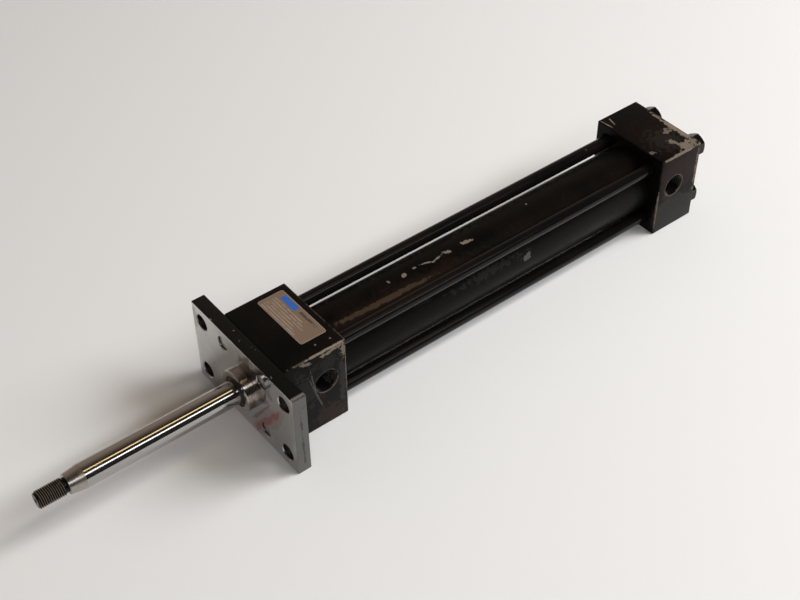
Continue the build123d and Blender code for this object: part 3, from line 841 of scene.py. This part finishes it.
class CYLINDER_OT_tube(Operator):
    """Round tube between the head and the cap"""
    bl_idname = "cylinder.tube"
    bl_label = "Tube"

    def execute(self, context):
        inner, outer = sizes().bore / 2, TUBE_HIGH.z
        shape = turned([
            (TUBE_LOW.x, inner), (TUBE_LOW.x, outer), (TUBE_HIGH.x, outer), (TUBE_HIGH.x, inner),
        ], 0.3 * MM, 128)
        material = enamel("black enamel on the tube", 0.3, TUBE_MARKS, TUBE_HIGH.x)
        piece(shape, "barrel_tube", BARREL, [material], ["cylinder_tube"])
        return {"FINISHED"}


class CYLINDER_OT_tie_rods(Operator):
    """Four tie rods with rolled threads that stand proud of their shanks"""
    bl_idname = "cylinder.tie_rods"
    bl_label = "Tie rods"

    def execute(self, context):
        pitch, thin = sizes().tie_rod_pitch, sizes().tie_rod_shank / 2
        dark = black_oxide("black tie rod", 0.3)
        bright = machined("tie-rod end", colours().flange, 1.0, 0.3, 0.42)
        for number in TIE_RODS:
            low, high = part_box(f"tie_rod_{number}")
            crest = (high.z - low.z) / 2
            root = crest - THREAD_HEIGHT * pitch
            point = root - TIE_ROD_POINT
            thread_to = low.x + TIE_ROD_THREAD
            runout = thread_to + 0.3 * MM
            shank = turned([
                (low.x, 0), (low.x, point), (low.x + TIE_ROD_POINT, root), (thread_to, root), (runout, thin),
                (FLANGE_LOW.x - 1 * MM, thin), (FLANGE_LOW.x, crest), (high.x - TIE_ROD_BREAK, crest),
                (high.x, crest - TIE_ROD_BREAK), (high.x, 0),
            ], 0.1 * MM, 48)
            tooth = screw_thread(
                low.x, runout, root, crest, pitch, lambda x: min(crest, point + (x - low.x)), 32,
            )
            shape = moved(joined(shank, tooth), (low.y + high.y) / 2, (low.z + high.z) / 2)
            made = piece(
                shape, f"tie_rod_shank_{number}", BARREL, [dark, bright],
                [f"tie_rod_{number}"],
            )
            for face in made.data.polygons:
                face.material_index = int(face.center.x > high.x - 0.05 * MM)
        return {"FINISHED"}


class CYLINDER_OT_nuts(Operator):
    """Four hexagon nuts with both faces chamfered"""
    bl_idname = "cylinder.nuts"
    bl_label = "Tie-rod nuts"

    def execute(self, context):
        material = black_oxide("black nut", 0.7)
        for number in TIE_RODS:
            low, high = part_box(f"tie_rod_nut_{number}")
            rod_low, rod_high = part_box(f"tie_rod_{number}")
            flats = high.z - low.z
            corner = flats / 2 / cos(radians(30))
            hexagon = bmesh.new()
            bmesh.ops.create_cone(
                hexagon, cap_ends=True, segments=6, radius1=corner, radius2=corner, depth=high.x - low.x,
            )
            moved(quarter_turn(quarter_turn(hexagon, "Y"), "X"), x=(low.x + high.x) / 2)
            face, outer = flats / 2 - NUT_INSET, corner + 0.01 * MM
            slope = NUT_SLOPE * (corner - face)
            envelope = turned([
                (low.x, 0), (low.x, face), (low.x + slope, outer), (high.x - slope, outer), (high.x, face),
                (high.x, 0),
            ], steps=72)
            opening = (rod_high.z - rod_low.z) / 2 + 0.02 * MM
            bore = drill(low.x, high.x, opening, low_break=0.5 * MM, steps=48)
            shape = carve(carve(hexagon, [envelope], "INTERSECT"), [bore])
            piece(
                moved(shape, (low.y + high.y) / 2, (low.z + high.z) / 2), f"tie_rod_hex_{number}", BARREL,
                [material], [f"tie_rod_nut_{number}"],
            )
        return {"FINISHED"}


class CYLINDER_OT_gland(Operator):
    """Gland cartridge: pilot outside, shoulder and seal grooves inside"""
    bl_idname = "cylinder.gland"
    bl_label = "Gland"

    def execute(self, context):
        pilot, bore = sizes().pilot / 2, sizes().rod / 2 + ROD_PLAY
        end, step, flange, face = GLAND_LOW.x, GLAND_LOW.x + GLAND_STEP, FLANGE_LOW.x, GLAND_HIGH.x
        wiper, bearing = face - WIPER_DEPTH, face - BEARING_DEPTH
        seal_front, seal_back = bearing - SEAL_FROM, bearing - SEAL_TO
        ring_back, ring_front = end + RING_FROM, end + RING_TO
        shape = turned([
            (end, bore), (end, GLAND_BODY), (ring_back, GLAND_BODY), (ring_back, RING_FLOOR),
            (ring_front, RING_FLOOR), (ring_front, GLAND_BODY), (step, GLAND_BODY), (step, GLAND_SHOULDER),
            (flange, GLAND_SHOULDER), (flange, pilot), (face - GLAND_BREAK, pilot),
            (face, pilot - GLAND_BREAK), (face, WIPER_SEAT), (wiper, WIPER_SEAT), (wiper, BEARING_SEAT),
            (bearing, BEARING_SEAT), (bearing, bore), (seal_front, bore), (seal_front, SEAL_SEAT),
            (seal_back, SEAL_SEAT), (seal_back, bore),
        ], 0.18 * MM, 128)
        material = turned_steel("turned gland", 0.6, 0.14, 0.26)
        piece(shape, "gland_cartridge", BARREL, [material], ["gland"])
        return {"FINISHED"}


class CYLINDER_OT_wiper(Operator):
    """Rubber wiper in the gland's mouth, its lip leaning out along the rod"""
    bl_idname = "cylinder.wiper"
    bl_label = "Rod wiper"

    def execute(self, context):
        low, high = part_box("rod_wiper")
        outer, inner, lip = high.z, sizes().rod / 2 + 0.04 * MM, 0.8 * MM
        step = GLAND_HIGH.x - lip
        shape = turned([
            (low.x, inner), (low.x, outer), (step, outer), (step, outer - lip), (high.x, inner + lip),
            (high.x, inner),
        ], 0.2 * MM)
        material = machined("nitrile rubber", colours().rubber, 0.0, 0.5, 0.7)
        piece(shape, "wiper_ring", BARREL, [material], ["rod_wiper"])
        return {"FINISHED"}


class CYLINDER_OT_nameplate(Operator):
    """Thin foil plate with rounded corners, one of them lifted"""
    bl_idname = "cylinder.nameplate"
    bl_label = "Nameplate"

    def execute(self, context):
        lift, reach = 0.15 * MM, 6 * MM
        low, high = PLATE_LOW, PLATE_HIGH - Vector((0, 0, lift))
        shape = box(low, high)
        upright = [e for e in shape.edges if abs(e.verts[0].co.z - e.verts[1].co.z) > lift]
        soften(shape, upright, sizes().plate_corner, 8)
        rim = [e for e in shape.edges if min(v.co.z for v in e.verts) > high.z - lift]
        soften(shape, rim, 0.1 * MM, 2)
        away = Vector((1, 1, 0)).normalized()
        for step in range(1, 7):
            bmesh.ops.bisect_plane(
                shape, geom=shape.verts[:] + shape.edges[:] + shape.faces[:],
                plane_co=high - away * step * MM, plane_no=away,
            )
        for v in shape.verts:
            near = max(0.0, 1 - (high - v.co).dot(away) / reach)
            v.co.z += lift * near * near
        bmesh.ops.recalc_face_normals(shape, faces=shape.faces)
        piece(shape, "data_plate", BARREL, [foil_plate()], ["nameplate"])
        return {"FINISHED"}


class CYLINDER_OT_rod(Operator):
    """Chromed rod with its piston stud, turned shoulder and threaded end"""
    bl_idname = "cylinder.rod"
    bl_label = "Piston rod"

    def execute(self, context):
        s = sizes()
        radius, crest, pitch = s.rod / 2, s.rod_thread / 2, s.rod_pitch
        tip = ROD_HIGH.x
        shoulder = tip - ROD_THREAD_LENGTH
        taper = shoulder - TAPER_LENGTH
        shaft = turned([
            (ROD_LOW.x, 0), (ROD_LOW.x, crest), (PISTON_HIGH.x, crest), (PISTON_HIGH.x, radius),
            (taper, radius), (shoulder, TAPER_END), (shoulder, 0),
        ], 0.25 * MM, 128)
        materials = [hard_chrome(), turned_steel("turned rod end", 0.1, 0.27, 0.36)]
        made = piece(shaft, "rod_shaft", ROD, materials, ["piston_rod"])
        for face in made.data.polygons:
            face.material_index = int(face.center.x > taper + 0.1 * MM or face.center.x < PISTON_HIGH.x)
        root, neck, point = crest - THREAD_HEIGHT * pitch, crest - NECK_DEPTH, crest - ROD_POINT
        inside, start = shoulder - 0.2 * MM, shoulder + NECK_LENGTH
        core = turned([
            (inside, 0), (inside, neck), (start, neck), (start + root - neck, root),
            (tip - (root - point), root), (tip, point), (tip, CENTRE_HOLE), (tip - CENTRE_DEPTH, 0),
        ], 0.08 * MM, 72)
        tooth = screw_thread(
            start, tip - 0.1 * MM, root, crest, pitch,
            lambda x: min(crest, point + tip - x, neck + x - start), 48,
        )
        material = black_oxide("black rod thread", 0.15, crest)
        piece(joined(core, tooth), "rod_end_thread", ROD, [material])
        return {"FINISHED"}


class CYLINDER_OT_inside(Operator):
    """Finishes of the seals, bearing, piston and lock nut, which keep their CAD shapes"""
    bl_idname = "cylinder.inside"
    bl_label = "Inner pieces"

    def execute(self, context):
        c = colours()
        rubber = machined("nitrile rubber", c.rubber, 0.0, 0.5, 0.7)
        urethane = machined("polyurethane", c.urethane, 0.0, 0.35, 0.5)
        finishes = {
            "rod_bearing": machined("bearing bronze", c.bronze, 1.0, 0.25, 0.4),
            "rod_seal": urethane, "piston_seal_front": urethane, "piston_seal_rear": urethane,
            "gland_o_ring": rubber, "head_tube_seal": rubber, "cap_tube_seal": rubber,
            "piston_stud_seal": rubber,
            "gland_backup_ring": machined("PTFE", c.ptfe, 0.0, 0.4, 0.55),
            "piston_wear_ring": machined("filled nylon", c.nylon, 0.0, 0.45, 0.6),
            "piston": machined("ductile iron", c.iron, 1.0, 0.35, 0.5),
            "piston_lock_nut": black_oxide("black nut", 0.7),
        }
        for name, material in finishes.items():
            for place in frame["nodes"][name].material_slots:
                place.material = material
        return {"FINISHED"}


# The camera's place in metres, its heading and tilt in degrees, and its lens in millimetres.
CAMERA_PLACE = (0.27626, 0.50808, 0.60855)
CAMERA_YAW = 232.0436
CAMERA_DOWN = 43.3078
CAMERA_ROLL = -0.5721
CAMERA_LENS = 61.974


class CYLINDER_OT_stage(Operator):
    """Pale floor, soft lights and the camera"""
    bl_idname = "cylinder.stage"
    bl_label = "Stage"

    def execute(self, context):
        scene = context.scene
        sheet = bmesh.new()
        bmesh.ops.create_grid(sheet, x_segments=1, y_segments=1, size=8.0)
        bmesh.ops.translate(sheet, vec=(0, 0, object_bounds()[0].z), verts=sheet.verts)
        floor = new_object("floor", mesh_of("floor", sheet))

        def matt(tree, shader):
            connect(tree, shader, {
                "Base Color": colours().floor, "Roughness": 0.9, "Specular IOR Level": 0.1,
            })

        floor.data.materials.append(finish("floor", matt))
        floor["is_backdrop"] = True

        world = bpy.data.worlds.new("studio")
        world.use_nodes = True
        tree = world.node_tree
        tree.nodes.clear()
        place = node(tree, "SeparateXYZ", {0: node(tree, "TexCoord").outputs["Generated"]})
        behind = share(tree, place.outputs["Y"], 0.15, -0.95)
        sky = layered(tree, linear("#33312f"), (behind, linear("#a59588")))
        background = node(tree, "Background", {"Color": sky, "Strength": 1.0})
        node(tree, "OutputWorld", {"Surface": background.outputs[0]})
        scene.world = world

        lights = (
            # name, place, aim, size along X, size across, radiance, colour, shows in reflections
            ("key", (-1.9, 0.9, 1.6), (0, 0, 0), 1.5, 1.5, 9.0, "#ffffff", False),
            ("strip", (0.15, 1.12, 1.10), (0.15, 0, 0), 3.0, 0.22, 4.5, "#ffffff", True),
            ("warm_strip", (-0.65, 0.42, 1.62), (-0.65, 0, 0), 1.2, 0.22, 2.8, "#ffe0a0", True),
        )
        for name, at, aim, long, wide, radiance, tint, mirrored in lights:
            data = bpy.data.lights.new(name, "AREA")
            data.shape = "RECTANGLE"
            data.size, data.size_y = long, wide
            data.energy = radiance * pi * long * wide
            data.color = linear(tint)[:3]
            lamp = new_object(name, data)
            back = (Vector(at) - Vector(aim)).normalized()
            along = (Vector((1, 0, 0)) - back * back.x).normalized()
            turn = Matrix((along, back.cross(along), back)).transposed()
            lamp.matrix_world = Matrix.Translation(at) @ turn.to_4x4()
            lamp.visible_glossy = mirrored

        data = bpy.data.cameras.new("camera")
        data.lens, data.sensor_width = CAMERA_LENS, 36.0
        data.clip_start, data.clip_end = 0.01, 50.0
        camera = new_object("camera", data)
        camera.matrix_world = (
            Matrix.Translation(CAMERA_PLACE)
            @ Matrix.Rotation(radians(CAMERA_YAW - 90), 4, "Z")
            @ Matrix.Rotation(radians(90 - CAMERA_DOWN), 4, "X")
            @ Matrix.Rotation(radians(CAMERA_ROLL), 4, "Z")
        )
        scene.camera = camera
        scene.view_settings.view_transform = "Standard"
        return {"FINISHED"}


OPERATORS = (
    CYLINDER_OT_flange, CYLINDER_OT_head, CYLINDER_OT_cap, CYLINDER_OT_tube, CYLINDER_OT_tie_rods,
    CYLINDER_OT_nuts, CYLINDER_OT_gland, CYLINDER_OT_wiper, CYLINDER_OT_nameplate, CYLINDER_OT_rod,
    CYLINDER_OT_inside, CYLINDER_OT_stage,
)


class CYLINDER_PT_pieces(bpy.types.Panel):
    """The cylinder's pieces, sizes and colours"""
    bl_idname = "CYLINDER_PT_pieces"
    bl_label = "Hydraulic cylinder"
    bl_space_type = "VIEW_3D"
    bl_region_type = "UI"
    bl_category = "Cylinder"

    def draw(self, context):
        for operator in OPERATORS:
            self.layout.operator(operator.bl_idname)
        for group in (context.scene.cylinder_sizes, context.scene.cylinder_colours):
            column = self.layout.column()
            for name in group.bl_rna.properties.keys():
                if name not in ("rna_type", "name"):
                    column.prop(group, name)


CLASSES = (CylinderSizes, CylinderColours, *OPERATORS, CYLINDER_PT_pieces)


def register():
    for cls in CLASSES:
        bpy.utils.register_class(cls)
    bpy.types.Scene.cylinder_sizes = PointerProperty(type=CylinderSizes)
    bpy.types.Scene.cylinder_colours = PointerProperty(type=CylinderColours)


def unregister():
    del bpy.types.Scene.cylinder_colours
    del bpy.types.Scene.cylinder_sizes
    for cls in reversed(CLASSES):
        bpy.utils.unregister_class(cls)


def main():
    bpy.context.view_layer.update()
    register()
    for operator in OPERATORS:
        group, name = operator.bl_idname.split(".")
        getattr(getattr(bpy.ops, group), name)()


if __name__ == "__main__":
    main()
